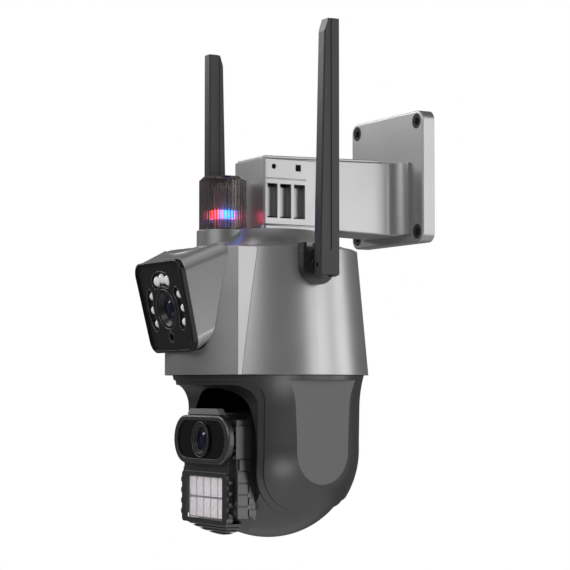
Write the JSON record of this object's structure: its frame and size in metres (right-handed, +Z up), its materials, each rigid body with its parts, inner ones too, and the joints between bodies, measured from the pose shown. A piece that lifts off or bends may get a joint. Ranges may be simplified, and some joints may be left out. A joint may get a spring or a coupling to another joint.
{
  "type": "pan and tilt camera",
  "caption": "Outdoor pan and tilt security camera on a wall bracket, with a fixed second camera, a warning light, lamp panel and folding aerials.",
  "frame": {"origin": "centre of the wall plate's back face, on the wall", "axes": "+Z up, +Y into the wall, the camera looks along -Y, +X on the louvred side of the arm"},
  "size_m": [0.165, 0.1953, 0.3461],
  "materials": {
    "wall_plate": "satin grey metallic paint",
    "plate_grommets": "matt",
    "bracket_arm": "satin grey metallic paint",
    "arm_lid": "satin grey metallic paint",
    "vent_cover": "satin grey metallic paint",
    "vent_speaker": "fine matt texture",
    "dome_cap": "satin grey metallic paint",
    "housing_screws": "plain",
    "upper_housing": "satin grey metallic paint",
    "front_panel": "satin grey metallic paint",
    "main_board": "solder mask",
    "board_chips": "matt",
    "pod_shell": "satin grey metallic paint",
    "pod_bezel": "fine matt texture",
    "pod_screws": "plain",
    "pod_boards": "solder mask",
    "pod_lamps": "clear dome over a white chip",
    "pod_sensor": "gloss",
    "pod_lens_barrel": "fine matt texture",
    "pod_lens_glass": "coated",
    "strobe_collar": "satin grey metallic paint",
    "strobe_lens": "smoky, ribbed",
    "strobe_board": "white",
    "strobe_lamps_red": "lit",
    "strobe_lamps_blue": "lit",
    "pan_chassis": "fine matt texture",
    "pan_bearing": "turned",
    "pan_motor": "plain",
    "pan_pinion": "moulded acetal",
    "slip_ring": "fine matt texture",
    "pan_shaft": "turned",
    "shaft_screws": "plain",
    "pan_gear": "moulded acetal",
    "yoke_shell": "fine matt texture",
    "tilt_bushes": "turned",
    "tilt_motor": "plain",
    "tilt_pinion": "moulded acetal",
    "tilt_gear": "moulded acetal",
    "tilt_axles": "plain",
    "head_shell": "fine matt texture",
    "head_face": "fine matt texture",
    "lens_bezel": "gloss",
    "lens_window": "polished",
    "zoom_lens_barrel": "fine matt texture",
    "zoom_lens_glass": "coated",
    "zoom_sensor_board": "solder mask",
    "lamp_frame": "fine matt texture",
    "lamp_board": "solder mask",
    "lamp_reflectors": "bright",
    "lamp_chips": "lit white",
    "lamp_window": "clear",
    "brow_plate": "satin grey",
    "cooling_cheeks": "fine matt texture",
    "head_screws": "plain",
    "aerial_base_left": "fine matt texture",
    "aerial_knuckle_left": "fine matt texture",
    "aerial_blade_left": "fine matt texture",
    "aerial_base_right": "fine matt texture",
    "aerial_knuckle_right": "fine matt texture",
    "aerial_blade_right": "fine matt texture"
  },
  "bodies": {
    "mount": {"wall_plate": "wall_plate", "plate_grommets": "plate_grommets", "bracket_arm": "bracket_arm", "arm_lid": "arm_lid", "vent_cover": "vent_cover", "vent_speaker": "vent_speaker", "dome_cap": "dome_cap", "housing_screws": "housing_screws", "upper_housing": "upper_housing", "front_panel": "front_panel", "main_board": "main_board", "board_chips": "board_chips", "pod_shell": "pod_shell", "pod_bezel": "pod_bezel", "pod_screws": "pod_screws", "pod_boards": "pod_boards", "pod_lamps": "pod_lamps", "pod_sensor": "pod_sensor", "pod_lens_barrel": "pod_lens_barrel", "pod_lens_glass": "pod_lens_glass", "strobe_collar": "strobe_collar", "strobe_lens": "strobe_lens", "strobe_board": "strobe_board", "strobe_lamps_red": "strobe_lamps_red", "strobe_lamps_blue": "strobe_lamps_blue", "pan_chassis": "pan_chassis", "pan_bearing": "pan_bearing", "pan_motor": "pan_motor", "slip_ring": "slip_ring", "aerial_base_left": "aerial_base_left", "aerial_base_right": "aerial_base_right"},
    "pan_pinion": {"pan_pinion": "pan_pinion"},
    "yoke": {"pan_shaft": "pan_shaft", "shaft_screws": "shaft_screws", "pan_gear": "pan_gear", "yoke_shell": "yoke_shell", "tilt_axles": "tilt_axles", "tilt_gear": "tilt_gear"},
    "head": {"tilt_bushes": "tilt_bushes", "tilt_motor": "tilt_motor", "head_shell": "head_shell", "head_face": "head_face", "lens_bezel": "lens_bezel", "lens_window": "lens_window", "zoom_lens_barrel": "zoom_lens_barrel", "zoom_lens_glass": "zoom_lens_glass", "zoom_sensor_board": "zoom_sensor_board", "lamp_frame": "lamp_frame", "lamp_board": "lamp_board", "lamp_reflectors": "lamp_reflectors", "lamp_chips": "lamp_chips", "lamp_window": "lamp_window", "brow_plate": "brow_plate", "cooling_cheeks": "cooling_cheeks", "head_screws": "head_screws"},
    "tilt_pinion": {"tilt_pinion": "tilt_pinion"},
    "knuckle_left": {"aerial_knuckle_left": "aerial_knuckle_left"},
    "knuckle_right": {"aerial_knuckle_right": "aerial_knuckle_right"},
    "blade_left": {"aerial_blade_left": "aerial_blade_left"},
    "blade_right": {"aerial_blade_right": "aerial_blade_right"}
  },
  "joints": [
    {"name": "pan", "type": "hinge", "parent": "mount", "child": "yoke", "pos_m": [0, -0.108, -0.14], "axis": [0, 0, 1], "range_deg": [-177.5, 177.5]},
    {"name": "pan_pinion_spin", "type": "hinge", "parent": "mount", "child": "pan_pinion", "pos_m": [0, -0.0792, -0.125], "axis": [0, 0, 1], "range_deg": [-890, 890]},
    {"name": "tilt", "type": "hinge", "parent": "yoke", "child": "head", "pos_m": [0, -0.108, -0.1912], "axis": [1, 0, 0], "range_deg": [-10, 65]},
    {"name": "tilt_pinion_spin", "type": "hinge", "parent": "head", "child": "tilt_pinion", "pos_m": [-0.048, -0.0912, -0.1912], "axis": [1, 0, 0], "range_deg": [-27, 164.5]},
    {"name": "aerial_swivel_left", "type": "hinge", "parent": "mount", "child": "knuckle_left", "pos_m": [0.07, -0.108, -0.0685], "axis": [1, 0, 0], "range_deg": [-90, 90]},
    {"name": "aerial_fold_left", "type": "hinge", "parent": "knuckle_left", "child": "blade_left", "pos_m": [0.0783, -0.108, -0.0685], "axis": [0, 1, 0], "range_deg": [0, 90]},
    {"name": "aerial_swivel_right", "type": "hinge", "parent": "mount", "child": "knuckle_right", "pos_m": [-0.07, -0.108, -0.0685], "axis": [1, 0, 0], "range_deg": [-90, 90]},
    {"name": "aerial_fold_right", "type": "hinge", "parent": "knuckle_right", "child": "blade_right", "pos_m": [-0.0783, -0.108, -0.0685], "axis": [0, -1, 0], "range_deg": [0, 90]}
  ],
  "couplings": [
    {"joint": "pan_pinion_spin", "follows": "pan", "ratio": -5},
    {"joint": "tilt_pinion_spin", "follows": "tilt", "ratio": 2.5}
  ]
}
